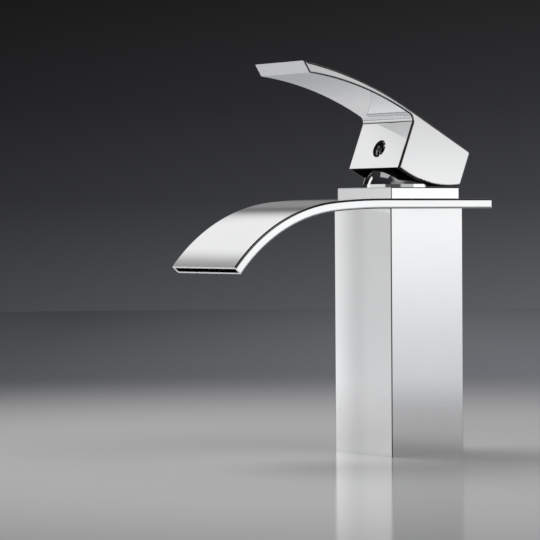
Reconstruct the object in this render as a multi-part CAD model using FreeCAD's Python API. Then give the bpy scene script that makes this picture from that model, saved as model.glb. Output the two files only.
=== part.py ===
import FreeCAD, Part
import math
import os

# Single-lever waterfall basin tap, in millimetres.
# The origin is the centre of the column's foot, on the deck. +Z is up and the spout points to -Y.
# The tap is drawn with its lever fully raised, which is the open end of the lever's travel.

# ---- Driving dimensions: column ----
COLUMN_WIDTH = 46.0
COLUMN_HEIGHT = 122.8
COLUMN_WALL = 2.5
COLUMN_EDGE_RADIUS = 0.6
BASE_PLATE_THICKNESS = 12.0
GASKET_OUTER = 19.7
GASKET_INNER = 17.9
GASKET_HEIGHT = 1.7
VALVE_BLOCK_BOTTOM = 76.0

# ---- Driving dimensions: waterfall spout ----
SPOUT_WIDTH = 53.4
SPOUT_THICKNESS = 5.0
SPOUT_TAIL_Y = 40.8
SPOUT_EASE_START_Y = -30.0
SPOUT_EASE_RADIUS = 334.0
SPOUT_EASE_ANGLE = 5.2
SPOUT_BEND_RADIUS = 88.4
SPOUT_LIP_ANGLE = 49.9
SPOUT_EDGE_RADIUS = 1.0
SPOUT_COVER_THICKNESS = 1.2
SPOUT_FLOOR_THICKNESS = 1.0
SPOUT_SIDE_WALL = 1.4
SPOUT_CHANNEL_BACK_Y = -8.0
SPOUT_COLLAR_RADIUS = 20.3
SPOUT_TAIL_CORNER_RADIUS = 2.2
SPOUT_SCREW_RADIUS = 2.0
SPOUT_SCREW_DEPTH = 10.0
SPOUT_SCREW_HEAD_RADIUS = 4.1
SPOUT_SCREW_HEAD_HEIGHT = 2.0

# ---- Driving dimensions: bezel and dome cap ----
BEZEL_WIDTH = 43.6
BEZEL_THICKNESS = 5.6
BEZEL_TOP_WALL = 2.0
BEZEL_BORE = 17.0
BEZEL_EDGE_RADIUS = 0.5
CAP_RADIUS = 17.8
CAP_BORE = 15.8
CAP_SLEEVE_RADIUS = 16.8
CAP_SLEEVE_HEIGHT = 3.4
DOME_RADIUS = 18.2
DOME_CENTRE_Z = 131.3
DOME_WALL = 1.5
DOME_TOP_Z = 142.9
DOME_OPENING_RADIUS = 13.4

# ---- Driving dimensions: ceramic cartridge ----
CARTRIDGE_RADIUS = 17.5
CARTRIDGE_BASE_RADIUS = 17.3
CARTRIDGE_SEAT_Z = 90.0
CARTRIDGE_BASE_FLANGE_Z = 92.0
CARTRIDGE_SHOULDER_Z = 116.0
CAVITY_RADIUS = 15.2
CAVITY_TOP_Z = 113.5
NECK_RADIUS = 13.1
NECK_BORE = 10.5
NECK_WIDE_BORE = 11.6
NECK_STEP_Z = 119.5
NECK_TOP_Z = 131.2
ROTOR_BOTTOM_Z = 117.3
ROTOR_FLANGE_LOW_Z = 131.8
ROTOR_FLANGE_TOP_Z = 134.8
ROTOR_SLOT_HALF_X = 4.3
ROTOR_SLOT_FRONT_Y = -9.1
ROTOR_SLOT_BACK_Y = 7.6
DISC_PLANE_Z = 101.5
FIXED_DISC_THICKNESS = 3.5
MOVING_DISC_THICKNESS = 3.0
FIXED_DISC_RADIUS = 14.6
MOVING_DISC_RADIUS = 11.2
CARRIER_DISC_THICKNESS = 4.0
CARRIER_SOCKET_TOP_Z = 115.2
CARRIER_SOCKET_HALF = 4.6
MIXING_POCKET_RADIUS = 7.0
MIXING_POCKET_DEPTH = 1.6
RUNNING_GAP = 0.06
PORT_X = 8.5
PORT_Y = 4.0
OUTLET_Y = -9.0

# ---- Driving dimensions: water ways and seals ----
INLET_WAY_RADIUS = 3.0
OUTLET_WAY_RADIUS = 3.5
GALLERY_LOW_Z = 82.0
GALLERY_HIGH_Z = 86.0
GALLERY_BACK_Y = -14.5
GALLERY_FRONT_Y = -19.0
RISER_RADIUS = 4.0
PASSAGE_OFFSET = 16.7
PASSAGE_RADIUS = 2.3
PASSAGE_SEAL_RADIUS = 2.95
PASSAGE_SEAL_SECTION = 0.45
SEAL_GROOVE_DEPTH = 1.5
SEAL_HEIGHT = 1.4
SEAL_WALL = 1.3

# ---- Driving dimensions: cartridge nut ----
NUT_THREAD_RADIUS = 18.4
NUT_SHANK_RADIUS = 18.0
NUT_FLANGE_RADIUS = 19.8
NUT_FLANGE_THICKNESS = 1.4
NUT_NECK_RADIUS = 15.6
NUT_WASHER_THICKNESS = 0.6
NUT_CAVITY_RADIUS = 20.3

# ---- Driving dimensions: lever and handle ----
PIVOT_Z = 129.2
OPEN_TILT = 21.7
BALL_ARM = 16.0
BALL_RADIUS = 2.8
STEM_X = 8.0
STEM_Y = 6.4
STEM_TOP_Z = 157.2
PIN_RADIUS = 1.5
PIN_HALF_LENGTH = 9.4
ARM_RADIUS = 2.2
HANDLE_WIDTH = 41.0
HANDLE_FRONT_Y = -19.9
HANDLE_BACK_Y = 20.2
HANDLE_WALL = 2.2
HANDLE_TOP_WALL = 3.0
HANDLE_TOP_START = (-23.6, 166.0)
HANDLE_TOP_SLOPE = 6.3
LEVER_TOP_RADIUS = 212.0
LEVER_TIP_TOP_Y = -92.9
LEVER_TIP_UNDER_Y = -87.4
LEVER_UNDER_CREST = (-40.7, 164.8)
LEVER_UNDER_RADIUS = 171.0
LEVER_ROOT_FILLET = 3.5
ROCKER_CENTRE = (-8.7, 194.4)
ROCKER_RADIUS = 59.0
HANDLE_EDGE_RADIUS = 1.0
HANDLE_BACK_EDGE_RADIUS = 1.5
SOCKET_HALF_X = 6.0
SOCKET_HALF_Y = 5.4
SOCKET_BOTTOM_Z = 143.2
SCREW_AXIS_Z = 146.9
SCREW_BORE_RADIUS = 4.3
SCREW_BORE_DEPTH = 2.2
SCREW_BORE_CHAMFER = 0.35
SCREW_BOSS_RADIUS = 5.2
SCREW_BOSS_DEPTH = 3.6
SCREW_TUBE_RADIUS = 3.5
SET_SCREW_RADIUS = 2.5
HEX_KEY_SIZE = 2.5

# ---- Driving dimensions: deck fixing ----
STUD_RADIUS = 4.0
STUD_Y = -10.5
STUD_LENGTH_BELOW = 62.0
STUD_END_CHAMFER = 0.8
STUD_SLOT_HALF = 0.6
DECK_THICKNESS = 20.0
HORSESHOE_RADIUS = 24.0
HORSESHOE_SLOT_HALF = 15.0
HORSESHOE_SLOT_FRONT_Y = -3.5
GASKET_THICKNESS = 2.0
WASHER_THICKNESS = 2.5
CLAMP_NUT_LENGTH = 20.0
CLAMP_NUT_FLATS = 13.0
INLET_RADIUS = 4.5
INLET_DEPTH = 9.0

# ---- Derived places ----
SPOUT_BOTTOM_Z = COLUMN_HEIGHT
SPOUT_TOP_Z = SPOUT_BOTTOM_Z + SPOUT_THICKNESS
BEZEL_TOP_Z = SPOUT_TOP_Z + BEZEL_THICKNESS
BLOCK_HALF = COLUMN_WIDTH / 2 - COLUMN_WALL
OPENING_RADIUS = NUT_SHANK_RADIUS + 0.1
DISC_TRAVEL = BALL_ARM * math.sin(math.radians(OPEN_TILT))
DISC_CENTRE_Y = -DISC_TRAVEL / 2


def vec(x, y, z):
    return FreeCAD.Vector(x, y, z)


# ---- Building blocks ----

def box(x_low, x_high, y_low, y_high, z_low, z_high):
    return Part.makeBox(x_high - x_low, y_high - y_low, z_high - z_low, vec(x_low, y_low, z_low))


def rod(radius, z_low, z_high, x=0.0, y=0.0):
    return Part.makeCylinder(radius, z_high - z_low, vec(x, y, z_low))


def rod_y(radius, y_low, y_high, z):
    return Part.makeCylinder(radius, y_high - y_low, vec(0, y_low, z), vec(0, 1, 0))


def rod_x(radius, half_length, y, z):
    return Part.makeCylinder(radius, 2 * half_length, vec(-half_length, y, z), vec(1, 0, 0))


def ring(outer, inner, z_low, z_high, x=0.0, y=0.0):
    return rod(outer, z_low, z_high, x, y).cut(rod(inner, z_low, z_high, x, y))


def o_ring(centre_radius, section_radius, z, x=0.0, y=0.0):
    return Part.makeTorus(centre_radius, section_radius, vec(x, y, z), vec(0, 0, 1))


def side_point(y, z):
    return vec(0, y, z)


def side_line(start, end):
    return Part.LineSegment(start, end).toShape()


def side_arc(start, middle, end):
    return Part.Arc(start, middle, end).toShape()


def side_prism(edges, half_width):
    """Extrude a closed outline drawn in the YZ plane to both sides of the middle plane."""
    face = Part.Face(Part.Wire(edges))
    face.translate(vec(-half_width, 0, 0))
    return face.extrude(vec(2 * half_width, 0, 0))


def side_polygon(points, half_width):
    corners = [side_point(y, z) for y, z in points]
    edges = [side_line(a, b) for a, b in zip(corners, corners[1:] + corners[:1])]
    return side_prism(edges, half_width)


def hexagon(across_flats, z_low, z_high, x=0.0, y=0.0):
    """Hexagonal bar along Z with two corners towards -Y and +Y."""
    corner = across_flats / math.sqrt(3)
    points = []
    for step in range(6):
        angle = math.radians(30 + 60 * step)
        points.append(vec(x + corner * math.cos(angle), y + corner * math.sin(angle), z_low))
    face = Part.Face(Part.makePolygon(points + points[:1]))
    return face.extrude(vec(0, 0, z_high - z_low))


def upright_edges(shape, half_width):
    """Vertical edges at the corners of a square piece."""
    found = []
    for edge in shape.Edges:
        size = edge.BoundBox
        at_corner = abs(abs(size.XMin) - half_width) < 0.01 and abs(abs(size.YMin) - half_width) < 0.01
        if at_corner and size.XLength < 0.01 and size.YLength < 0.01:
            found.append(edge)
    return found


def tilt_open(shape):
    """Lean a piece of the lever back about the pivot, from the closed to the open position."""
    leaned = shape.copy()
    leaned.rotate(vec(0, 0, PIVOT_Z), vec(1, 0, 0), -OPEN_TILT)
    return leaned


# ---- Column ----

def column_tube():
    half = COLUMN_WIDTH / 2
    shell = box(-half, half, -half, half, 0, COLUMN_HEIGHT)
    shell = shell.makeFillet(COLUMN_EDGE_RADIUS, upright_edges(shell, half))
    return shell.cut(box(-BLOCK_HALF, BLOCK_HALF, -BLOCK_HALF, BLOCK_HALF, -1, COLUMN_HEIGHT + 1))


def valve_block():
    """Brass core of the column: cartridge chamber, two inlet ways and the mixed-water gallery."""
    block = box(-BLOCK_HALF, BLOCK_HALF, -BLOCK_HALF, BLOCK_HALF, VALVE_BLOCK_BOTTOM, COLUMN_HEIGHT)
    block = block.cut(rod(CARTRIDGE_RADIUS + 0.1, CARTRIDGE_SEAT_Z, COLUMN_HEIGHT))
    block = block.cut(rod(NUT_THREAD_RADIUS + 0.1, CARTRIDGE_SHOULDER_Z - 3, COLUMN_HEIGHT))
    block = block.cut(box(-PASSAGE_OFFSET, PASSAGE_OFFSET, GALLERY_FRONT_Y, GALLERY_BACK_Y,
                          GALLERY_LOW_Z, GALLERY_HIGH_Z))
    block = block.cut(box(-INLET_WAY_RADIUS, INLET_WAY_RADIUS, GALLERY_BACK_Y - 0.5, OUTLET_Y,
                          GALLERY_LOW_Z, GALLERY_HIGH_Z))
    block = block.cut(rod(OUTLET_WAY_RADIUS, GALLERY_LOW_Z, CARTRIDGE_SEAT_Z, 0, OUTLET_Y))
    for side in (-1, 1):
        x = side * PASSAGE_OFFSET
        block = block.cut(rod(PASSAGE_RADIUS, GALLERY_LOW_Z, COLUMN_HEIGHT, x, -PASSAGE_OFFSET))
        seal_seat = PASSAGE_SEAL_RADIUS + PASSAGE_SEAL_SECTION + 0.2
        block = block.cut(rod(seal_seat, COLUMN_HEIGHT - 2 * PASSAGE_SEAL_SECTION, COLUMN_HEIGHT,
                              x, -PASSAGE_OFFSET))
        block = block.cut(rod(SPOUT_SCREW_RADIUS, COLUMN_HEIGHT - SPOUT_SCREW_DEPTH, COLUMN_HEIGHT,
                              x, PASSAGE_OFFSET))
        block = block.cut(rod(INLET_WAY_RADIUS, VALVE_BLOCK_BOTTOM, CARTRIDGE_SEAT_Z, side * PORT_X, PORT_Y))
        block = block.cut(rod(RISER_RADIUS, VALVE_BLOCK_BOTTOM, GALLERY_LOW_Z, side * PORT_X, PORT_Y))
    return block


def base_plate():
    """Foot of the column, with the two hose inlets, the stud hole and the gasket groove."""
    plate = box(-BLOCK_HALF, BLOCK_HALF, -BLOCK_HALF, BLOCK_HALF, 0, BASE_PLATE_THICKNESS)
    for side in (-1, 1):
        plate = plate.cut(rod(INLET_RADIUS, 0, INLET_DEPTH, side * PORT_X, PORT_Y))
        plate = plate.cut(rod(RISER_RADIUS, INLET_DEPTH, BASE_PLATE_THICKNESS, side * PORT_X, PORT_Y))
    plate = plate.cut(rod(STUD_RADIUS, 0, INLET_DEPTH, 0, STUD_Y))
    groove = 0.1
    return plate.cut(ring(GASKET_OUTER + groove, GASKET_INNER - groove, 0, GASKET_HEIGHT + groove))


def base_gasket():
    return ring(GASKET_OUTER, GASKET_INNER, 0, GASKET_HEIGHT)


def riser(side):
    """Tube that carries hot or cold water from a hose inlet up to the valve block."""
    return ring(RISER_RADIUS, INLET_WAY_RADIUS, INLET_DEPTH, GALLERY_LOW_Z, side * PORT_X, PORT_Y)


# ---- Waterfall spout ----

def spout_curve(depth, back_y, lip_angle=SPOUT_LIP_ANGLE):
    """Corner points of the spout's side curve at a depth below its top surface."""
    ease = math.radians(SPOUT_EASE_ANGLE)
    lip = math.radians(lip_angle)
    ease_centre = (SPOUT_EASE_START_Y, SPOUT_TOP_Z - SPOUT_EASE_RADIUS)
    radius_step = SPOUT_EASE_RADIUS - SPOUT_BEND_RADIUS
    bend_centre = (ease_centre[0] - radius_step * math.sin(ease), ease_centre[1] + radius_step * math.cos(ease))

    def on_arc(centre, radius, angle):
        return side_point(centre[0] - radius * math.sin(angle), centre[1] + radius * math.cos(angle))

    ease_radius = SPOUT_EASE_RADIUS - depth
    bend_radius = SPOUT_BEND_RADIUS - depth
    return [side_point(back_y, SPOUT_TOP_Z - depth),
            side_point(SPOUT_EASE_START_Y, SPOUT_TOP_Z - depth),
            on_arc(ease_centre, ease_radius, ease / 2),
            on_arc(ease_centre, ease_radius, ease),
            on_arc(bend_centre, bend_radius, (ease + lip) / 2),
            on_arc(bend_centre, bend_radius, lip)]


def spout_layer(top_depth, bottom_depth, half_width, back_y=SPOUT_TAIL_Y, lip_angle=SPOUT_LIP_ANGLE):
    """Slice of the spout between two depths, following its curve."""
    top = spout_curve(top_depth, back_y, lip_angle)
    low = spout_curve(bottom_depth, back_y, lip_angle)
    edges = [side_line(top[0], top[1]), side_arc(top[1], top[2], top[3]), side_arc(top[3], top[4], top[5]),
             side_line(top[5], low[5]), side_arc(low[5], low[4], low[3]), side_arc(low[3], low[2], low[1]),
             side_line(low[1], low[0]), side_line(low[0], top[0])]
    return side_prism(edges, half_width)


def spout_blank():
    """Whole outside of the spout with its long edges and tail corners rounded."""
    half = SPOUT_WIDTH / 2
    blank = spout_layer(0, SPOUT_THICKNESS, half)
    tail = [edge for edge in blank.Edges
            if edge.BoundBox.YMin > SPOUT_TAIL_Y - 0.01 and edge.BoundBox.ZLength > SPOUT_THICKNESS - 0.01]
    blank = blank.makeFillet(SPOUT_TAIL_CORNER_RADIUS, tail)
    long_edges = [edge for edge in blank.Edges
                  if edge.BoundBox.XLength < 0.01 and edge.BoundBox.YLength > 10]
    return blank.makeFillet(SPOUT_EDGE_RADIUS, long_edges)


def screw_head_cone(low_radius, top_radius, x):
    """Countersunk head, or the seat for one, flush with the spout's top."""
    return Part.makeCone(low_radius, top_radius, SPOUT_SCREW_HEAD_HEIGHT,
                         vec(x, PASSAGE_OFFSET, SPOUT_TOP_Z - SPOUT_SCREW_HEAD_HEIGHT))


def spout_holes():
    """Cartridge opening and the two countersunk screw holes, hidden below the bezel."""
    holes = rod(OPENING_RADIUS, SPOUT_BOTTOM_Z - 1, SPOUT_TOP_Z + 1)
    for side in (-1, 1):
        x = side * PASSAGE_OFFSET
        clear_radius = SPOUT_SCREW_RADIUS + 0.2
        holes = holes.fuse(rod(clear_radius, SPOUT_BOTTOM_Z - 1, SPOUT_TOP_Z + 1, x, PASSAGE_OFFSET))
        holes = holes.fuse(screw_head_cone(clear_radius, SPOUT_SCREW_HEAD_RADIUS + 0.1, x))
    return holes


def spout_cover():
    skin = spout_layer(-1.0, SPOUT_COVER_THICKNESS, SPOUT_WIDTH, SPOUT_TAIL_Y + 1)
    return spout_blank().common(skin).cut(spout_holes())


def spout_trough():
    """Lower shell of the spout: floor, side walls and the collar round the cartridge opening."""
    half = SPOUT_WIDTH / 2
    below_cover = spout_layer(SPOUT_COVER_THICKNESS, SPOUT_THICKNESS + 1, SPOUT_WIDTH, SPOUT_TAIL_Y + 1)
    trough = spout_blank().common(below_cover)
    channel = spout_layer(SPOUT_COVER_THICKNESS - 0.5, SPOUT_THICKNESS - SPOUT_FLOOR_THICKNESS,
                          half - SPOUT_SIDE_WALL, SPOUT_CHANNEL_BACK_Y, SPOUT_LIP_ANGLE + 2)
    channel = channel.cut(rod(SPOUT_COLLAR_RADIUS, SPOUT_BOTTOM_Z - 1, SPOUT_TOP_Z + 1))
    trough = trough.cut(channel)
    for side in (-1, 1):
        inlet = rod(PASSAGE_RADIUS, SPOUT_BOTTOM_Z - 1, SPOUT_BOTTOM_Z + 2, side * PASSAGE_OFFSET, -PASSAGE_OFFSET)
        trough = trough.cut(inlet)
    return trough.cut(spout_holes())


def spout_screws():
    """Two countersunk screws that hold the spout down to the valve block."""
    screws = []
    for side in (-1, 1):
        x = side * PASSAGE_OFFSET
        screw = rod(SPOUT_SCREW_RADIUS, COLUMN_HEIGHT - SPOUT_SCREW_DEPTH + 1, SPOUT_TOP_Z, x, PASSAGE_OFFSET)
        screw = screw.fuse(screw_head_cone(SPOUT_SCREW_RADIUS + 0.1, SPOUT_SCREW_HEAD_RADIUS, x))
        screws.append(screw.cut(hexagon(HEX_KEY_SIZE, SPOUT_TOP_Z - 1.5, SPOUT_TOP_Z + 1, x, PASSAGE_OFFSET)))
    return Part.makeCompound(screws)


def passage_seals():
    """Two O-rings that seal the water passages between the column and the spout."""
    height = COLUMN_HEIGHT - PASSAGE_SEAL_SECTION
    return Part.makeCompound([o_ring(PASSAGE_SEAL_RADIUS, PASSAGE_SEAL_SECTION, height,
                                     side * PASSAGE_OFFSET, -PASSAGE_OFFSET) for side in (-1, 1)])


# ---- Cover pieces round the cartridge neck ----

def bezel_plate():
    half = BEZEL_WIDTH / 2
    plate = box(-half, half, -half, half, SPOUT_TOP_Z, BEZEL_TOP_Z)
    plate = plate.makeFillet(BEZEL_EDGE_RADIUS, upright_edges(plate, half))
    rim = [edge for edge in plate.Edges if edge.BoundBox.ZMin > BEZEL_TOP_Z - 0.01]
    plate = plate.makeFillet(BEZEL_EDGE_RADIUS * 0.9, rim)
    plate = plate.cut(rod(NUT_CAVITY_RADIUS, SPOUT_TOP_Z, BEZEL_TOP_Z - BEZEL_TOP_WALL))
    return plate.cut(rod(BEZEL_BORE, SPOUT_TOP_Z, BEZEL_TOP_Z))


def nut_washer():
    return ring(NUT_FLANGE_RADIUS, NUT_SHANK_RADIUS + 0.2, SPOUT_TOP_Z, SPOUT_TOP_Z + NUT_WASHER_THICKNESS)


def cartridge_nut():
    """Ring nut that holds the cartridge down and clamps the spout round its opening."""
    flange_low = SPOUT_TOP_Z + NUT_WASHER_THICKNESS
    nut = rod(NUT_THREAD_RADIUS, CARTRIDGE_SHOULDER_Z, COLUMN_HEIGHT)
    nut = nut.fuse(rod(NUT_SHANK_RADIUS, COLUMN_HEIGHT, flange_low))
    nut = nut.fuse(rod(NUT_FLANGE_RADIUS, flange_low, flange_low + NUT_FLANGE_THICKNESS))
    nut = nut.fuse(rod(NUT_NECK_RADIUS, flange_low, NECK_TOP_Z))
    for turn in range(4):
        notch = box(NUT_SHANK_RADIUS - 0.1, NUT_FLANGE_RADIUS + 1, -1.5, 1.5, flange_low - 0.1, flange_low + 2)
        notch.rotate(vec(0, 0, 0), vec(0, 0, 1), 90 * turn)
        nut = nut.cut(notch)
    return nut.cut(rod(NECK_RADIUS + 0.2, CARTRIDGE_SHOULDER_Z, NECK_TOP_Z))


def dome_cap():
    """Bright cap that screws onto the nut: short round skirt on the bezel and a dome under the handle."""
    dome_centre = vec(0, 0, DOME_CENTRE_Z)
    cap = rod(CAP_RADIUS, BEZEL_TOP_Z, DOME_TOP_Z).common(Part.makeSphere(DOME_RADIUS, dome_centre))
    hollow = Part.makeSphere(DOME_RADIUS - DOME_WALL, dome_centre)
    hollow = hollow.common(rod(DOME_RADIUS, ROTOR_FLANGE_TOP_Z, DOME_TOP_Z))
    cap = cap.cut(hollow)
    cap = cap.cut(rod(CAP_BORE, BEZEL_TOP_Z, ROTOR_FLANGE_TOP_Z + 1))
    cap = cap.cut(rod(DOME_OPENING_RADIUS, ROTOR_FLANGE_TOP_Z, DOME_TOP_Z))
    sleeve = ring(CAP_SLEEVE_RADIUS, NUT_NECK_RADIUS, BEZEL_TOP_Z - CAP_SLEEVE_HEIGHT, BEZEL_TOP_Z)
    return cap.fuse(sleeve)


# ---- Ceramic cartridge ----

def cartridge_base():
    top = DISC_PLANE_Z - FIXED_DISC_THICKNESS
    groove_top = CARTRIDGE_SEAT_Z + SEAL_GROOVE_DEPTH
    groove_wall = SEAL_WALL + 0.1
    base = rod(CARTRIDGE_BASE_RADIUS, CARTRIDGE_SEAT_Z, CARTRIDGE_BASE_FLANGE_Z)
    base = base.fuse(rod(CAVITY_RADIUS - 0.1, CARTRIDGE_BASE_FLANGE_Z, top))
    for side in (-1, 1):
        x = side * PORT_X
        base = base.cut(rod(INLET_WAY_RADIUS, CARTRIDGE_SEAT_Z, top, x, PORT_Y))
        base = base.cut(rod(INLET_WAY_RADIUS + groove_wall, CARTRIDGE_SEAT_Z, groove_top, x, PORT_Y))
    base = base.cut(rod(OUTLET_WAY_RADIUS, CARTRIDGE_SEAT_Z, top, 0, OUTLET_Y))
    return base.cut(rod(OUTLET_WAY_RADIUS + groove_wall, CARTRIDGE_SEAT_Z, groove_top, 0, OUTLET_Y))


def port_seals():
    """Three rubber seals between the cartridge and its seat."""
    top = CARTRIDGE_SEAT_Z + SEAL_HEIGHT
    seals = [ring(INLET_WAY_RADIUS + SEAL_WALL, INLET_WAY_RADIUS, CARTRIDGE_SEAT_Z, top, side * PORT_X, PORT_Y)
             for side in (-1, 1)]
    seals.append(ring(OUTLET_WAY_RADIUS + SEAL_WALL, OUTLET_WAY_RADIUS, CARTRIDGE_SEAT_Z, top, 0, OUTLET_Y))
    return Part.makeCompound(seals)


def fixed_disc():
    low = DISC_PLANE_Z - FIXED_DISC_THICKNESS
    disc = rod(FIXED_DISC_RADIUS, low, DISC_PLANE_Z)
    for side in (-1, 1):
        disc = disc.cut(rod(INLET_WAY_RADIUS - 0.2, low, DISC_PLANE_Z, side * PORT_X, PORT_Y))
    return disc.cut(rod(OUTLET_WAY_RADIUS - 0.2, low, DISC_PLANE_Z, 0, OUTLET_Y))


def moving_disc():
    """Sliding ceramic disc with the mixing pocket in its underside."""
    low = DISC_PLANE_Z
    disc = rod(MOVING_DISC_RADIUS, low, low + MOVING_DISC_THICKNESS, 0, DISC_CENTRE_Y)
    return disc.cut(rod(MIXING_POCKET_RADIUS, low, low + MIXING_POCKET_DEPTH, 0, DISC_CENTRE_Y))


def disc_carrier():
    """Plastic driver on the moving disc, with the socket for the lever's ball."""
    low = DISC_PLANE_Z + MOVING_DISC_THICKNESS
    neck_z = low + CARRIER_DISC_THICKNESS
    socket_y = -DISC_TRAVEL
    half = CARRIER_SOCKET_HALF
    carrier = rod(MOVING_DISC_RADIUS, low, neck_z, 0, DISC_CENTRE_Y)
    carrier = carrier.fuse(box(-half, half, socket_y - half + 0.4, socket_y + half - 0.4,
                               neck_z, CARRIER_SOCKET_TOP_Z))
    ball_bottom = PIVOT_Z - BALL_ARM - BALL_RADIUS
    return carrier.cut(rod(BALL_RADIUS + 0.35, ball_bottom - 0.4, CARRIER_SOCKET_TOP_Z + 1, 0, socket_y))


def cartridge_housing():
    low = CARTRIDGE_BASE_FLANGE_Z
    housing = rod(CARTRIDGE_RADIUS, low, CARTRIDGE_SHOULDER_Z)
    housing = housing.fuse(rod(NECK_RADIUS, CARTRIDGE_SHOULDER_Z, NECK_TOP_Z))
    housing = housing.cut(rod(CAVITY_RADIUS, low, CAVITY_TOP_Z))
    housing = housing.cut(rod(NECK_WIDE_BORE, CAVITY_TOP_Z, NECK_STEP_Z))
    return housing.cut(rod(NECK_BORE, NECK_STEP_Z, NECK_TOP_Z))


def stem_rotor():
    """Black guide that turns in the cartridge's neck and carries the lever's pivot pin."""
    rotor = rod(NECK_WIDE_BORE - 0.2, ROTOR_BOTTOM_Z, NECK_STEP_Z - 0.2)
    rotor = rotor.fuse(rod(NECK_BORE - RUNNING_GAP, ROTOR_BOTTOM_Z, ROTOR_FLANGE_LOW_Z))
    rotor = rotor.fuse(rod(CAP_BORE - 0.4, ROTOR_FLANGE_LOW_Z, ROTOR_FLANGE_TOP_Z))
    slot = box(-ROTOR_SLOT_HALF_X, ROTOR_SLOT_HALF_X, ROTOR_SLOT_FRONT_Y, ROTOR_SLOT_BACK_Y,
               ROTOR_BOTTOM_Z - 0.3, ROTOR_FLANGE_TOP_Z + 1)
    return rotor.cut(slot).cut(rod_x(PIN_RADIUS, PIN_HALF_LENGTH, 0, PIVOT_Z))


def pivot_pin():
    return rod_x(PIN_RADIUS, PIN_HALF_LENGTH, 0, PIVOT_Z)


# ---- Lever ----

def cartridge_stem():
    """Lever stem: square shank into the handle, hub on the pin, arm and ball to the disc carrier."""
    shank = box(-STEM_X / 2, STEM_X / 2, -STEM_Y / 2, STEM_Y / 2, PIVOT_Z, STEM_TOP_Z)
    hub = rod_x(STEM_X / 2, STEM_X / 2, 0, PIVOT_Z)
    arm = rod(ARM_RADIUS, PIVOT_Z - BALL_ARM, PIVOT_Z)
    ball = Part.makeSphere(BALL_RADIUS, vec(0, 0, PIVOT_Z - BALL_ARM))
    stem = shank.fuse(hub).fuse(arm).fuse(ball)
    return tilt_open(stem.cut(rod_x(PIN_RADIUS + RUNNING_GAP, STEM_X, 0, PIVOT_Z)))


def rocker_z(y):
    return ROCKER_CENTRE[1] - math.sqrt(ROCKER_RADIUS ** 2 - (y - ROCKER_CENTRE[0]) ** 2)


def handle_top_z(y):
    """Height of the block's sloping top, in the closed position."""
    start_y, start_z = HANDLE_TOP_START
    return start_z - (y - start_y) * math.tan(math.radians(HANDLE_TOP_SLOPE))


def handle_blank():
    """Outside of the handle in the closed position: square block and curved flat lever."""
    slope = math.radians(HANDLE_TOP_SLOPE)
    start_y, start_z = HANDLE_TOP_START
    top_centre = (start_y - LEVER_TOP_RADIUS * math.sin(slope), start_z - LEVER_TOP_RADIUS * math.cos(slope))
    under_centre = (LEVER_UNDER_CREST[0], LEVER_UNDER_CREST[1] - LEVER_UNDER_RADIUS)

    def on_arc(centre, radius, y):
        return side_point(y, centre[1] + math.sqrt(radius ** 2 - (y - centre[0]) ** 2))

    fillet_y = HANDLE_FRONT_Y - LEVER_ROOT_FILLET
    fillet_centre = on_arc(under_centre, LEVER_UNDER_RADIUS - LEVER_ROOT_FILLET, fillet_y)
    outward = fillet_centre - side_point(*under_centre)
    outward.normalize()
    under_root = fillet_centre + outward * LEVER_ROOT_FILLET
    halfway = outward + vec(0, 1, 0)
    halfway.normalize()
    crease_middle = fillet_centre + halfway * LEVER_ROOT_FILLET
    crease = side_point(HANDLE_FRONT_Y, fillet_centre.z)
    front_low = side_point(HANDLE_FRONT_Y, rocker_z(HANDLE_FRONT_Y))
    back_low = side_point(HANDLE_BACK_Y, rocker_z(HANDLE_BACK_Y))
    back_high = side_point(HANDLE_BACK_Y, handle_top_z(HANDLE_BACK_Y))
    top_start = side_point(start_y, start_z)
    top_middle = on_arc(top_centre, LEVER_TOP_RADIUS, (start_y + LEVER_TIP_TOP_Y) / 2)
    tip_top = on_arc(top_centre, LEVER_TOP_RADIUS, LEVER_TIP_TOP_Y)
    tip_under = on_arc(under_centre, LEVER_UNDER_RADIUS, LEVER_TIP_UNDER_Y)
    under_middle = on_arc(under_centre, LEVER_UNDER_RADIUS, (LEVER_TIP_UNDER_Y + under_root.y) / 2)
    edges = [side_arc(front_low, side_point(0, rocker_z(0)), back_low),
             side_line(back_low, back_high),
             side_line(back_high, top_start),
             side_arc(top_start, top_middle, tip_top),
             side_line(tip_top, tip_under),
             side_arc(tip_under, under_middle, under_root),
             side_arc(under_root, crease_middle, crease),
             side_line(crease, front_low)]
    half = HANDLE_WIDTH / 2
    blank = side_prism(edges, half)
    crown = [edge for edge in blank.Edges if edge.BoundBox.XLength > 1
             and edge.BoundBox.YMin > HANDLE_BACK_Y - 0.01 and edge.BoundBox.ZMin > back_low.z]
    blank = blank.makeFillet(HANDLE_BACK_EDGE_RADIUS, crown)
    outline = [edge for edge in blank.Edges if edge.BoundBox.XLength < 0.01]
    return blank.makeFillet(HANDLE_EDGE_RADIUS, outline)


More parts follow.
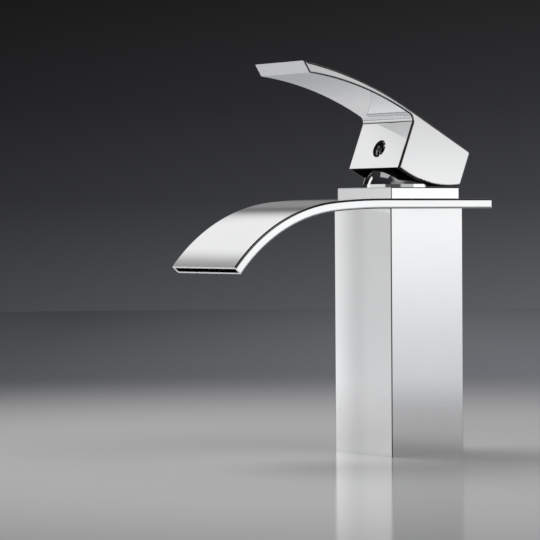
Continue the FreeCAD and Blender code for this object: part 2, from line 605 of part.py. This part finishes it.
def handle():
    inner_front = HANDLE_FRONT_Y + HANDLE_WALL
    inner_back = HANDLE_BACK_Y - HANDLE_WALL
    inner_half = HANDLE_WIDTH / 2 - HANDLE_WALL
    below = PIVOT_Z
    roof_front = handle_top_z(inner_front) - HANDLE_TOP_WALL
    roof_back = handle_top_z(inner_back) - HANDLE_TOP_WALL
    hollow = side_polygon([(inner_front, below), (inner_back, below), (inner_back, roof_back),
                           (inner_front, roof_front)], inner_half)
    front_low = rocker_z(HANDLE_FRONT_Y)
    thinned_edge = side_polygon([(HANDLE_FRONT_Y + 0.15, front_low - 1), (inner_front + 0.1, front_low + 3.7),
                                 (inner_front + 0.1, front_low - 1)], inner_half)
    socket = box(-SOCKET_HALF_X, SOCKET_HALF_X, -SOCKET_HALF_Y, SOCKET_HALF_Y,
                 SOCKET_BOTTOM_Z, handle_top_z(SOCKET_HALF_Y) - 1.0)
    bore_end = HANDLE_FRONT_Y + SCREW_BORE_DEPTH
    boss = rod_y(SCREW_BOSS_RADIUS, inner_front - 0.1, HANDLE_FRONT_Y + SCREW_BOSS_DEPTH, SCREW_AXIS_Z)
    tube = rod_y(SCREW_TUBE_RADIUS, bore_end, -SOCKET_HALF_Y, SCREW_AXIS_Z)
    shell = handle_blank().cut(hollow).cut(thinned_edge).fuse(socket).fuse(tube).fuse(boss)
    stem_gap = 0.05
    stem_hole = box(-STEM_X / 2 - stem_gap, STEM_X / 2 + stem_gap, -STEM_Y / 2 - stem_gap, STEM_Y / 2 + stem_gap,
                    SOCKET_BOTTOM_Z - 1, STEM_TOP_Z + 0.3)
    screw_bore = rod_y(SCREW_BORE_RADIUS, HANDLE_FRONT_Y - 1, bore_end, SCREW_AXIS_Z)
    bore_mouth = Part.makeCone(SCREW_BORE_RADIUS + SCREW_BORE_CHAMFER, SCREW_BORE_RADIUS, SCREW_BORE_CHAMFER,
                               vec(0, HANDLE_FRONT_Y, SCREW_AXIS_Z), vec(0, 1, 0))
    screw_bore = screw_bore.fuse(bore_mouth)
    screw_thread = rod_y(SET_SCREW_RADIUS, bore_end - 0.1, -STEM_Y / 2, SCREW_AXIS_Z)
    return tilt_open(shell.cut(stem_hole).cut(screw_bore).cut(screw_thread).removeSplitter())


def set_screw():
    """Grub screw with a hexagon socket that clamps the handle onto the stem."""
    front = HANDLE_FRONT_Y + SCREW_BORE_DEPTH + 0.4
    screw = rod_y(SET_SCREW_RADIUS, front, -STEM_Y / 2 - 0.05, SCREW_AXIS_Z)
    key = hexagon(HEX_KEY_SIZE, 0, HEX_KEY_SIZE)
    key.rotate(vec(0, 0, 0), vec(1, 0, 0), -90)
    key.translate(vec(0, front, SCREW_AXIS_Z))
    return tilt_open(screw.cut(key))


# ---- Deck fixing ----

def mounting_stud():
    stud = rod(STUD_RADIUS, -STUD_LENGTH_BELOW, INLET_DEPTH, 0, STUD_Y)
    tip = [edge for edge in stud.Edges if edge.BoundBox.ZMax < -STUD_LENGTH_BELOW + 0.01]
    stud = stud.makeChamfer(STUD_END_CHAMFER, tip)
    slot = box(-STUD_SLOT_HALF, STUD_SLOT_HALF, STUD_Y - STUD_RADIUS - 1, STUD_Y + STUD_RADIUS + 1,
               -STUD_LENGTH_BELOW - 1, -STUD_LENGTH_BELOW + 1.5)
    return stud.cut(slot)


def horseshoe(z_low, z_high):
    """Open washer that lets the two hoses pass, with a hole for the stud."""
    plate = rod(HORSESHOE_RADIUS, z_low, z_high)
    plate = plate.cut(box(-HORSESHOE_SLOT_HALF, HORSESHOE_SLOT_HALF, HORSESHOE_SLOT_FRONT_Y, 30, z_low, z_high))
    return plate.cut(rod(STUD_RADIUS + 0.4, z_low, z_high, 0, STUD_Y))


def horseshoe_gasket():
    return horseshoe(-DECK_THICKNESS - GASKET_THICKNESS, -DECK_THICKNESS)


def horseshoe_washer():
    top = -DECK_THICKNESS - GASKET_THICKNESS
    return horseshoe(top - WASHER_THICKNESS, top)


def clamp_nut():
    top = -DECK_THICKNESS - GASKET_THICKNESS - WASHER_THICKNESS
    low = top - CLAMP_NUT_LENGTH
    nut = hexagon(CLAMP_NUT_FLATS, low, top, 0, STUD_Y)
    cone = Part.makeCone(CLAMP_NUT_FLATS / 2, CLAMP_NUT_FLATS / 2 + CLAMP_NUT_LENGTH, CLAMP_NUT_LENGTH,
                         vec(0, STUD_Y, low))
    return nut.common(cone).cut(rod(STUD_RADIUS + RUNNING_GAP, low, top, 0, STUD_Y))


PIECES = {
    "column_tube": column_tube,
    "valve_block": valve_block,
    "base_plate": base_plate,
    "base_gasket": base_gasket,
    "hot_riser": lambda: riser(-1),
    "cold_riser": lambda: riser(1),
    "spout_cover": spout_cover,
    "spout_trough": spout_trough,
    "spout_screws": spout_screws,
    "passage_seals": passage_seals,
    "bezel_plate": bezel_plate,
    "nut_washer": nut_washer,
    "cartridge_nut": cartridge_nut,
    "dome_cap": dome_cap,
    "cartridge_base": cartridge_base,
    "port_seals": port_seals,
    "fixed_disc": fixed_disc,
    "moving_disc": moving_disc,
    "disc_carrier": disc_carrier,
    "cartridge_housing": cartridge_housing,
    "stem_rotor": stem_rotor,
    "pivot_pin": pivot_pin,
    "cartridge_stem": cartridge_stem,
    "handle": handle,
    "set_screw": set_screw,
    "mounting_stud": mounting_stud,
    "horseshoe_gasket": horseshoe_gasket,
    "horseshoe_washer": horseshoe_washer,
    "clamp_nut": clamp_nut,
}

os.makedirs("parts", exist_ok=True)
for name, make_piece in PIECES.items():
    piece = make_piece()
    piece.exportStep("parts/" + name + ".step")
    print("%-18s solids %d valid %s volume %8.1f mm3  z %.1f to %.1f" % (
        name, len(piece.Solids), piece.isValid(), piece.Volume, piece.BoundBox.ZMin, piece.BoundBox.ZMax))
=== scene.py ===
import math

import bpy
from mathutils import Matrix, Vector

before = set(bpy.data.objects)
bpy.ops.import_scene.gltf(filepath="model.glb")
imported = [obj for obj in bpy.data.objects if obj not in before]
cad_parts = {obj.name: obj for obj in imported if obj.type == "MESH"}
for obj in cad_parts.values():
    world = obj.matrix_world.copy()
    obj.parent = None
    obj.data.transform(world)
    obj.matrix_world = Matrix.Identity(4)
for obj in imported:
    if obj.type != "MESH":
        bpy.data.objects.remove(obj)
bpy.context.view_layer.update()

# Lengths are in metres and angles in degrees, unless a line says otherwise. The spout points to
# -Y. Compass directions of the studio are measured from +X towards +Y.
MM = 0.001

# ---- Camera, fitted to the column, spout and cover plate edges of the 540 x 540 photograph ----
CAMERA_AZIMUTH = 53.91
CAMERA_ELEVATION = 1.04
CAMERA_ROLL = -0.357
CAMERA_DISTANCE = 1.3356
CAMERA_AIM_HEIGHT = 0.100
CAMERA_SHIFT_RIGHT = -0.06477
CAMERA_SHIFT_UP = -0.00803
CAMERA_CLIP_START = 0.01
# in millimetres
CAMERA_LENS = 176.47
SENSOR_WIDTH = 36.0

# ---- Backdrop: dark above, paler towards the floor ----
BACKDROP = (
    # elevation and colour
    (-20.0, (0.480, 0.490, 0.505)),
    (-8.0, (0.380, 0.392, 0.415)),
    (-5.0, (0.210, 0.218, 0.232)),
    (-2.5, (0.093, 0.096, 0.104)),
    (0.5, (0.038, 0.039, 0.043)),
    (2.6, (0.022, 0.0225, 0.0245)),
    (5.0, (0.0125, 0.0125, 0.013)),
    (14.0, (0.0125, 0.0125, 0.013)),
    (40.0, (0.036, 0.037, 0.040)),
)

# The backdrop and the far floor's painted glow grow brighter towards one side of the view. A gain
# rises from its first value to its second while the distance towards that side goes through the
# reach.
BRIGHT_SIDE = 54.0
BACKDROP_SIDE_GAIN = (0.74, 1.30)
BACKDROP_SIDE_REACH = (-math.sin(math.radians(6.0)), math.sin(math.radians(6.0)))

# ---- Floor: pale near the object; far away a painted glow in the backdrop's colour ----
FLOOR_RADIUS = 2.2
FLOOR_STEPS = 96
FLOOR_COLOUR = (0.78, 0.78, 0.785, 1.0)
FLOOR_ROUGHNESS = 0.11
FLOOR_FADE_START = 0.20
FLOOR_FADE_END = 0.72
FLOOR_FAR_GLOW_COLOUR = (0.077, 0.079, 0.086, 1.0)
FLOOR_GLOW_DISTANCE_GAIN = (1.75, 1.08)
FLOOR_GLOW_SIDE_GAIN = (0.60, 1.15)
FLOOR_SIDE_REACH = (-0.30, 0.14)

# ---- Light ----
PANELS = (
    # compass, elevation, half width, half height, fade, strength
    (208.2, -1.0, 7.7, 10.0, 2.2, 0.90),
    (208.0, 18.5, 5.5, 9.5, 1.8, 0.94),
    (247.5, -1.0, 31.5, 13.0, 3.0, 0.66),
    (38.0, 0.0, 23.0, 3.2, 5.0, 1.18),
    (354.0, 0.5, 24.0, 3.5, 5.0, 0.50),
    (165.0, 34.0, 16.0, 11.0, 7.0, 0.92),
    (150.0, 11.0, 16.0, 7.5, 3.0, 0.26),
    (345.0, 52.0, 26.0, 14.0, 10.0, 0.60),
    (107.0, 36.0, 30.0, 20.0, 8.0, 0.24),
    (320.0, 24.0, 20.0, 9.0, 6.0, 0.20),
    (303.0, 2.0, 24.0, 9.0, 6.0, 0.05),
)
LAMPS = (
    # name, compass, elevation, distance, size, watts
    ("key", 205.0, 58.0, 1.3, 0.8, 11.0),
    ("fill", 20.0, 50.0, 1.5, 0.9, 5.0),
)

# ---- Noise: each is its stretch along the axes, scale, detail and, where not usual, roughness ----
EVEN = (1, 1, 1)
USUAL_NOISE_ROUGHNESS = 0.5
NOISE_RANGE = (0.3, 0.7)

# ---- Chrome ----
CHROME_TONES = ((0.84, 0.845, 0.85), (0.865, 0.868, 0.872))
POLISHING_WAVES = ((1, 1, 0.5), 12.0, 1.0)
POLISHING_WAVE_DEPTH = 0.015 * MM
STREAKS = ((900, 900, 14), 1.0, 3.0)
STREAK_ROUGHNESS = (0.0, 0.018)
HAZE = (EVEN, 60.0, 4.0)
HAZE_ROUGHNESS = (0.025, 0.045)
# how far a normal points sideways where the painted dark reflection along an edge starts, is full,
# fades and ends
PAINTED_REFLECTION_EDGE_BAND = (0.08, 0.30, 0.80, 0.95)
PAINTED_REFLECTION_EDGE_TONE = (0.02, 0.02, 0.022)
PAINTED_REFLECTION_EDGE_STRENGTH = 0.92
# painted shade in the handle's hollow, downward rim and screw hole, and the rougher gloss there
PAINTED_HOLLOW_SHADE_TONE = (0.05, 0.05, 0.052)
SHADED_HOLLOW_ROUGHNESS = 0.5
COLUMN_HALF_WIDTH = 23.0 * MM
COLUMN_CROWN = 0.30 * MM

# ---- The handle in its closed position, for the mask of the shade painted into its hollow ----
HANDLE_TILT = 21.7
PIVOT_HEIGHT = 129.2 * MM
HOLLOW_HALF_WIDTH = 19.4 * MM
HOLLOW_FRONT_Y = -17.2 * MM
HOLLOW_BACK_Y = 19.0 * MM
ROOF_SLOPE = math.tan(math.radians(6.3))
ROOF_HEIGHT = 161.8 * MM
RIM_HEIGHT = 146.0 * MM
RIM_NORMAL_Z = -0.4
BORE_HEIGHT = 146.9 * MM
BORE_MOUTH_RADIUS = 4.85 * MM
BORE_MOUTH_Y = -19.89 * MM
BORE_WALL = 1.75 * MM

# ---- Sockets of a Mix node that mixes colours ----
MIX_FIRST, MIX_SECOND, MIX_RESULT = 6, 7, 2


# ---- Node helpers ----

def new_material(name):
    material = bpy.data.materials.new(name)
    material.use_nodes = True
    tree = material.node_tree
    return material, tree, tree.nodes["Principled BSDF"]


def feed(tree, socket, value):
    """Link a signal into the socket, or set a plain value on it."""
    if isinstance(value, bpy.types.NodeSocket):
        tree.links.new(value, socket)
    else:
        socket.default_value = value


def add(tree, kind, inputs, **settings):
    """A new node with its inputs fed and its properties set by name."""
    node = tree.nodes.new(kind)
    for key, value in settings.items():
        setattr(node, key, value)
    for key, value in inputs.items():
        feed(tree, node.inputs[key], value)
    return node


def coordinates(tree, kind):
    """Object and Normal are in the piece's own space, Generated is the world's view ray."""
    return add(tree, "ShaderNodeTexCoord", {}).outputs[kind]


def from_camera(tree):
    return add(tree, "ShaderNodeLightPath", {}).outputs["Is Camera Ray"]


def split(tree, vector):
    outputs = add(tree, "ShaderNodeSeparateXYZ", {"Vector": vector}).outputs
    return outputs["X"], outputs["Y"], outputs["Z"]


def maths(tree, operation, *values):
    """A Math node fed by signals or by plain numbers."""
    return add(tree, "ShaderNodeMath", dict(enumerate(values)), operation=operation).outputs[0]


def product(tree, first, *others):
    for other in others:
        first = maths(tree, "MULTIPLY", first, other)
    return first


def vector_maths(tree, operation, **inputs):
    """The outputs of a Vector Math node on the vectors first and second or the number scale."""
    places = {"first": 0, "second": 1, "scale": "Scale"}
    sockets = {places[name]: value for name, value in inputs.items()}
    return add(tree, "ShaderNodeVectorMath", sockets, operation=operation).outputs


def dot(tree, vector, axis):
    return vector_maths(tree, "DOT_PRODUCT", first=vector, second=axis)["Value"]


def spread(tree, value, low, high, from_low=NOISE_RANGE[0], from_high=NOISE_RANGE[1],
           curve="LINEAR"):
    """The value's range from_low to from_high, mapped to low to high."""
    limits = {"Value": value, "From Min": from_low, "From Max": from_high,
              "To Min": low, "To Max": high}
    return add(tree, "ShaderNodeMapRange", limits, interpolation_type=curve).outputs["Result"]


def between(tree, value, low, high):
    """One where the value lies between the limits."""
    return product(tree, maths(tree, "GREATER_THAN", value, low),
                   maths(tree, "LESS_THAN", value, high))


def band(tree, value, low_start, low_end, high_start, high_end):
    """One between the two inner limits, falling to zero at the outer ones."""
    return product(tree, spread(tree, value, 0.0, 1.0, low_start, low_end),
                   spread(tree, value, 1.0, 0.0, high_start, high_end))


def grain(tree, stretch, scale, detail, roughness=USUAL_NOISE_ROUGHNESS):
    """Noise in the piece's own space, with the space stretched along its axes."""
    place = {"Vector": coordinates(tree, "Object"), "Scale": stretch}
    stretched = add(tree, "ShaderNodeMapping", place).outputs["Vector"]
    noise = {"Vector": stretched, "Scale": scale, "Detail": detail, "Roughness": roughness}
    return add(tree, "ShaderNodeTexNoise", noise).outputs["Fac"]


def blend_colours(tree, share, first, second):
    """From the first colour, plain or a signal, to the second plain one."""
    if isinstance(first, tuple):
        first = (*first, 1.0)
    colours = {"Factor": share, MIX_FIRST: first, MIX_SECOND: (*second, 1.0)}
    return add(tree, "ShaderNodeMix", colours, data_type="RGBA").outputs[MIX_RESULT]


def mix_shaders(tree, share, first, second):
    shaders = {0: share, 1: first.outputs[0], 2: second.outputs[0]}
    return add(tree, "ShaderNodeMixShader", shaders)


def relief(tree, shader, heights):
    """Stack bumps on the shader; each is a height signal and its depth."""
    below = {}
    for height, depth in heights:
        inputs = {"Strength": 1.0, "Distance": depth, "Height": height, **below}
        below = {"Normal": add(tree, "ShaderNodeBump", inputs).outputs["Normal"]}
    feed(tree, shader.inputs["Normal"], below["Normal"])


# ---- Materials ----

def painted_edge_reflection(tree):
    """Share of the dark reflection painted into the colour along rounded edges, by how far the
    normal points sideways.
    """
    x, _, _ = split(tree, coordinates(tree, "Normal"))
    return product(tree, band(tree, maths(tree, "ABSOLUTE", x), *PAINTED_REFLECTION_EDGE_BAND), PAINTED_REFLECTION_EDGE_STRENGTH)


def painted_hollow_shade(tree):
    """One on the handle's hollow, its downward rim and the wall of its screw hole, where shade is
    painted dark into the colour.
    """
    turn = math.radians(HANDLE_TILT)
    pivot = Vector((0.0, 0.0, PIVOT_HEIGHT))
    closing = {"Vector": coordinates(tree, "Object"), "Rotation": (turn, 0.0, 0.0),
               "Location": pivot - Matrix.Rotation(turn, 3, "X") @ pivot}
    closed = add(tree, "ShaderNodeMapping", closing).outputs["Vector"]
    x, y, z = split(tree, closed)

    between_sides = maths(tree, "LESS_THAN", maths(tree, "ABSOLUTE", x), HOLLOW_HALF_WIDTH)
    lengthwise = between(tree, y, HOLLOW_FRONT_Y, HOLLOW_BACK_Y)
    roof = maths(tree, "ADD", z, maths(tree, "MULTIPLY", y, ROOF_SLOPE))
    below_roof = maths(tree, "LESS_THAN", roof, ROOF_HEIGHT)
    hollow = product(tree, between_sides, lengthwise, below_roof)

    _, _, normal_z = split(tree, coordinates(tree, "Normal"))
    downwards = maths(tree, "LESS_THAN", normal_z, RIM_NORMAL_Z)
    rim = product(tree, downwards, maths(tree, "LESS_THAN", z, RIM_HEIGHT))

    flat = vector_maths(tree, "MULTIPLY", first=closed, second=(1.0, 0.0, 1.0))["Vector"]
    from_axis = vector_maths(tree, "DISTANCE", first=flat, second=(0.0, 0.0, BORE_HEIGHT))
    mouth = maths(tree, "LESS_THAN", from_axis["Value"], BORE_MOUTH_RADIUS)
    bore = product(tree, mouth, between(tree, y, BORE_MOUTH_Y, BORE_MOUTH_Y + BORE_WALL))
    return maths(tree, "MAXIMUM", maths(tree, "MAXIMUM", hollow, rim), bore)


def crowned_faces(tree):
    """Slight roundness of the column's flat faces: one at the middle, zero at the edges."""
    x, y, _ = split(tree, coordinates(tree, "Object"))
    across = [maths(tree, "POWER", maths(tree, "DIVIDE", axis, COLUMN_HALF_WIDTH), 2.0)
              for axis in (x, y)]
    return maths(tree, "SUBTRACT", 1.0, maths(tree, "ADD", *across))


def polished_chrome(name, painted_light_gain, edges=True, paint_hollow_shade=False, crown=0.0):
    """Bright plating: faint polishing waves, drawn streaks and a slightly uneven gloss, with a
    painted light gain on its tone, and by choice a painted dark reflection along edges and painted
    shade in the handle's hollow.
    """
    material, tree, shader = new_material(name)
    haze = grain(tree, *HAZE)
    # The gain paints the part's plating lighter or darker, as a lit or shaded copy of the same
    # chrome.
    darker, lighter = (tuple(painted_light_gain * c for c in colour) for colour in CHROME_TONES)
    tone = blend_colours(tree, spread(tree, haze, 0.0, 1.0), darker, lighter)
    gloss = maths(tree, "ADD", spread(tree, grain(tree, *STREAKS), *STREAK_ROUGHNESS),
                  spread(tree, haze, *HAZE_ROUGHNESS))
    # A dark reflection painted into the colour along rounded edges, where dark surroundings would
    # show in the chrome.
    if edges:
        tone = blend_colours(tree, painted_edge_reflection(tree), tone, PAINTED_REFLECTION_EDGE_TONE)
    # Shade painted dark into the colour of the handle's hollow, its downward rim and its screw
    # hole, with a rougher gloss there.
    if paint_hollow_shade:
        hollow_shade = painted_hollow_shade(tree)
        tone = blend_colours(tree, hollow_shade, tone, PAINTED_HOLLOW_SHADE_TONE)
        gloss = maths(tree, "ADD", gloss, product(tree, hollow_shade, SHADED_HOLLOW_ROUGHNESS))
    shader.inputs["Metallic"].default_value = 1.0
    feed(tree, shader.inputs["Base Color"], tone)
    feed(tree, shader.inputs["Roughness"], gloss)
    heights = [(grain(tree, *POLISHING_WAVES), POLISHING_WAVE_DEPTH)]
    if crown:
        heights.append((crowned_faces(tree), crown))
    relief(tree, shader, heights)
    return material


def grained(name, metallic, tones, texture, cloud, gloss, roughness, depth):
    """A plain surface: relief from the texture, tone from the cloud, and gloss from one of them."""
    material, tree, shader = new_material(name)
    noises = {"texture": grain(tree, *texture), "cloud": grain(tree, *cloud)}
    tone = blend_colours(tree, spread(tree, noises["cloud"], 0.0, 1.0), *tones)
    shader.inputs["Metallic"].default_value = metallic
    feed(tree, shader.inputs["Base Color"], tone)
    feed(tree, shader.inputs["Roughness"], spread(tree, noises[gloss], *roughness))
    relief(tree, shader, [(noises["texture"], depth)])
    return material


def moulded(name, tones, texture_scale, roughness, depth):
    """A moulded or pressed part with fine texture and slight tone changes."""
    return grained(
        name, metallic=0.0, tones=tones, texture=(EVEN, texture_scale, 4.0, 0.6),
        cloud=(EVEN, 90.0, 3.0), gloss="texture", roughness=roughness, depth=depth)


def turned_brass():
    """Machined yellow brass with fine tool marks and a little tarnish."""
    return grained(
        "turned_brass", metallic=1.0, tones=((0.78, 0.56, 0.27), (0.60, 0.40, 0.17)),
        texture=((60, 60, 2600), 1.0, 3.0), cloud=(EVEN, 140.0, 6.0, 0.6),
        gloss="cloud", roughness=(0.20, 0.42), depth=0.02 * MM)


def drawn_copper():
    """Copper tube with lengthwise drawing lines and a dull film."""
    return grained(
        "drawn_copper", metallic=1.0, tones=((0.83, 0.47, 0.33), (0.55, 0.27, 0.18)),
        texture=((1800, 1800, 20), 1.0, 2.0), cloud=(EVEN, 120.0, 5.0),
        gloss="cloud", roughness=(0.22, 0.45), depth=0.01 * MM)


def ground_steel():
    """Plain steel with a ground surface."""
    return grained(
        "ground_steel", metallic=1.0, tones=((0.42, 0.425, 0.43), (0.30, 0.30, 0.31)),
        texture=((220, 2400, 2400), 1.0, 3.0), cloud=(EVEN, 200.0, 4.0),
        gloss="texture", roughness=(0.18, 0.34), depth=0.006 * MM)


def cast_zinc():
    """Matt grey casting of the lever stem."""
    return grained(
        "cast_zinc", metallic=1.0, tones=((0.50, 0.50, 0.50), (0.36, 0.36, 0.37)),
        texture=(EVEN, 1500.0, 4.0), cloud=(EVEN, 150.0, 3.0),
        gloss="texture", roughness=(0.38, 0.55), depth=0.02 * MM)


def black_rubber():
    return moulded(
        "black_rubber_grain", tones=((0.024, 0.024, 0.025), (0.012, 0.012, 0.012)),
        texture_scale=2200.0, roughness=(0.55, 0.75), depth=0.03 * MM)


def black_plastic():
    return moulded(
        "black_acetal", tones=((0.016, 0.016, 0.017), (0.008, 0.008, 0.008)),
        texture_scale=1800.0, roughness=(0.26, 0.38), depth=0.008 * MM)


def white_plastic():
    return moulded(
        "white_acetal", tones=((0.80, 0.80, 0.78), (0.72, 0.72, 0.69)),
        texture_scale=1800.0, roughness=(0.35, 0.50), depth=0.01 * MM)


def alumina():
    return moulded(
        "lapped_alumina", tones=((0.86, 0.85, 0.81), (0.78, 0.77, 0.72)),
        texture_scale=3000.0, roughness=(0.12, 0.22), depth=0.002 * MM)


SLOT_MATERIALS = {
    "chrome_plate": polished_chrome("polished_chrome", painted_light_gain=1.0),
    "bare_brass": turned_brass(),
    "copper_tube": drawn_copper(),
    "steel": ground_steel(),
    "stem_metal": cast_zinc(),
    "black_rubber": black_rubber(),
    "black_plastic": black_plastic(),
    "white_plastic": white_plastic(),
    "alumina": alumina(),
}

# Each part gets a lit or shaded copy of the chrome: its gain paints in how much light the part
# catches.
NODE_MATERIALS = {
    "handle": polished_chrome("polished_chrome_handle", painted_light_gain=0.97, paint_hollow_shade=True),
    "dome_cap": polished_chrome("polished_chrome_round", painted_light_gain=1.14, edges=False),
    "bezel_plate": polished_chrome("polished_chrome_bezel", painted_light_gain=1.10),
    "column_tube": polished_chrome("polished_chrome_crowned", painted_light_gain=0.94,
                                   crown=COLUMN_CROWN),
}


def dress_frame():
    """Give every node of the CAD model its own material or that of its record slot."""
    for name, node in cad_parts.items():
        for slot in node.material_slots:
            slot_name = slot.material.name.split(".")[0]
            slot.material = NODE_MATERIALS.get(name) or SLOT_MATERIALS[slot_name]


# ---- Studio ----

def studio_direction(compass, elevation):
    a, e = math.radians(compass), math.radians(elevation)
    return Vector((math.cos(a) * math.cos(e), math.sin(a) * math.cos(e), math.sin(e)))


def side_gain(tree, position, gain, reach):
    """The gain at a position, which rises through the reach towards the bright side."""
    return spread(tree, dot(tree, position, studio_direction(BRIGHT_SIDE, 0.0)), *gain, *reach)


def soft_panel(tree, ray, compass, elevation, half_width, half_height, fade, strength):
    """Brightness of a soft rectangular panel far away, seen along the ray."""
    centre = studio_direction(compass, elevation)
    sideways = math.radians(compass)
    side = Vector((-math.sin(sideways), math.cos(sideways), 0.0))
    top = centre.cross(side)
    facing = dot(tree, ray, centre)

    def edge(offset, half_size):
        angle = maths(tree, "ABSOLUTE", maths(tree, "ARCTAN2", dot(tree, ray, offset), facing))
        return spread(tree, angle, 1.0, 0.0, math.radians(half_size - fade),
                      math.radians(half_size + fade), "SMOOTHSTEP")

    return product(tree, edge(side, half_width), edge(top, half_height), strength)


def backdrop_colour(tree, ray):
    """The backdrop's colour by the height of the ray."""
    lowest, highest = (math.sin(math.radians(BACKDROP[place][0])) for place in (0, -1))
    _, _, height = split(tree, ray)
    share = spread(tree, height, 0.0, 1.0, lowest, highest)
    ramp = add(tree, "ShaderNodeValToRGB", {"Fac": share})
    stops = ramp.color_ramp.elements
    stops[0].color = (*BACKDROP[0][1], 1.0)
    stops[1].color = (*BACKDROP[-1][1], 1.0)
    for elevation, colour in BACKDROP[1:-1]:
        stop = stops.new((math.sin(math.radians(elevation)) - lowest) / (highest - lowest))
        stop.color = (*colour, 1.0)
    return ramp.outputs["Color"]


def studio_world():
    """The backdrop, and panels of light that the camera does not see but polished metal does."""
    world = bpy.data.worlds.new("studio")
    bpy.context.scene.world = world
    world.use_nodes = True
    tree = world.node_tree
    ray = coordinates(tree, "Generated")
    light = 0.0
    for panel in PANELS:
        light = maths(tree, "ADD", soft_panel(tree, ray, *panel), light)
    unseen = maths(tree, "SUBTRACT", 1.0, from_camera(tree))
    gain = side_gain(tree, ray, BACKDROP_SIDE_GAIN, BACKDROP_SIDE_REACH)
    wall = vector_maths(tree, "SCALE", first=backdrop_colour(tree, ray), scale=gain)["Vector"]
    sky = vector_maths(tree, "ADD", first=wall, second=product(tree, light, unseen))["Vector"]
    feed(tree, tree.nodes["Background"].inputs["Color"], sky)


def studio_lamp(name, compass, elevation, distance, size, watts):
    """A soft lamp for matt surfaces only; polished metal shows the world's panels instead."""
    data = bpy.data.lights.new(name, "AREA")
    data.shape = "SQUARE"
    data.size = size
    data.energy = watts
    lamp = bpy.data.objects.new(name, data)
    bpy.context.scene.collection.objects.link(lamp)
    direction = studio_direction(compass, elevation)
    lamp.location = direction * distance
    lamp.rotation_mode = "QUATERNION"
    lamp.rotation_quaternion = direction.to_track_quat("Z", "Y")
    lamp.visible_camera = False
    lamp.visible_glossy = False


def floor_material():
    material, tree, shader = new_material("floor")
    shader.inputs["Base Color"].default_value = FLOOR_COLOUR
    shader.inputs["Roughness"].default_value = FLOOR_ROUGHNESS
    place = coordinates(tree, "Object")
    distance = vector_maths(tree, "LENGTH", first=place)["Value"]
    far = spread(tree, distance, 0.0, 1.0, FLOOR_FADE_START, FLOOR_FADE_END, "SMOOTHSTEP")
    # Far away the floor glows with painted light in the backdrop's colour, brighter nearer the
    # object and towards the bright side, where light would fall; the camera sees through it.
    glow_distance_gain = spread(tree, distance, *FLOOR_GLOW_DISTANCE_GAIN, FLOOR_FADE_END, FLOOR_RADIUS)
    gain = product(tree, glow_distance_gain, side_gain(tree, place, FLOOR_GLOW_SIDE_GAIN, FLOOR_SIDE_REACH))
    clear = add(tree, "ShaderNodeBsdfTransparent", {})
    plain = add(tree, "ShaderNodeEmission", {"Color": FLOOR_FAR_GLOW_COLOUR, "Strength": gain})
    distant = mix_shaders(tree, from_camera(tree), clear, plain)
    surface = mix_shaders(tree, far, shader, distant)
    feed(tree, tree.nodes["Material Output"].inputs["Surface"], surface.outputs[0])
    return material


def studio_floor():
    """A round pale floor at deck height that fades far from the object into a painted glow in the
    backdrop's colour, which the camera sees through to the backdrop.
    """
    turns = [math.tau * step / FLOOR_STEPS for step in range(FLOOR_STEPS)]
    rim = [(FLOOR_RADIUS * math.cos(a), FLOOR_RADIUS * math.sin(a), 0.0) for a in turns]
    mesh = bpy.data.meshes.new("floor")
    mesh.from_pydata(rim, [], [tuple(range(FLOOR_STEPS))])
    mesh.materials.append(floor_material())
    floor = bpy.data.objects.new("floor", mesh)
    bpy.context.scene.collection.objects.link(floor)


def photo_camera():
    azimuth, elevation = math.radians(CAMERA_AZIMUTH), math.radians(CAMERA_ELEVATION)
    back = Vector((math.sin(azimuth) * math.cos(elevation),
                   -math.cos(azimuth) * math.cos(elevation), math.sin(elevation)))
    level_right = (-back).cross(Vector((0, 0, 1))).normalized()
    level_up = level_right.cross(-back)
    roll = math.radians(CAMERA_ROLL)
    right = math.cos(roll) * level_right + math.sin(roll) * level_up
    up = -math.sin(roll) * level_right + math.cos(roll) * level_up
    place = (Vector((0, 0, CAMERA_AIM_HEIGHT)) + back * CAMERA_DISTANCE
             + right * CAMERA_SHIFT_RIGHT + up * CAMERA_SHIFT_UP)
    data = bpy.data.cameras.new("camera")
    data.lens = CAMERA_LENS
    data.sensor_width = SENSOR_WIDTH
    data.clip_start = CAMERA_CLIP_START
    camera = bpy.data.objects.new("camera", data)
    bpy.context.scene.collection.objects.link(camera)
    turn = Matrix((right, up, back)).transposed().to_4x4()
    camera.matrix_world = Matrix.Translation(place) @ turn
    bpy.context.scene.camera = camera


bpy.context.scene.view_settings.view_transform = "Standard"
photo_camera()
studio_world()
for lamp_values in LAMPS:
    studio_lamp(*lamp_values)
studio_floor()
dress_frame()
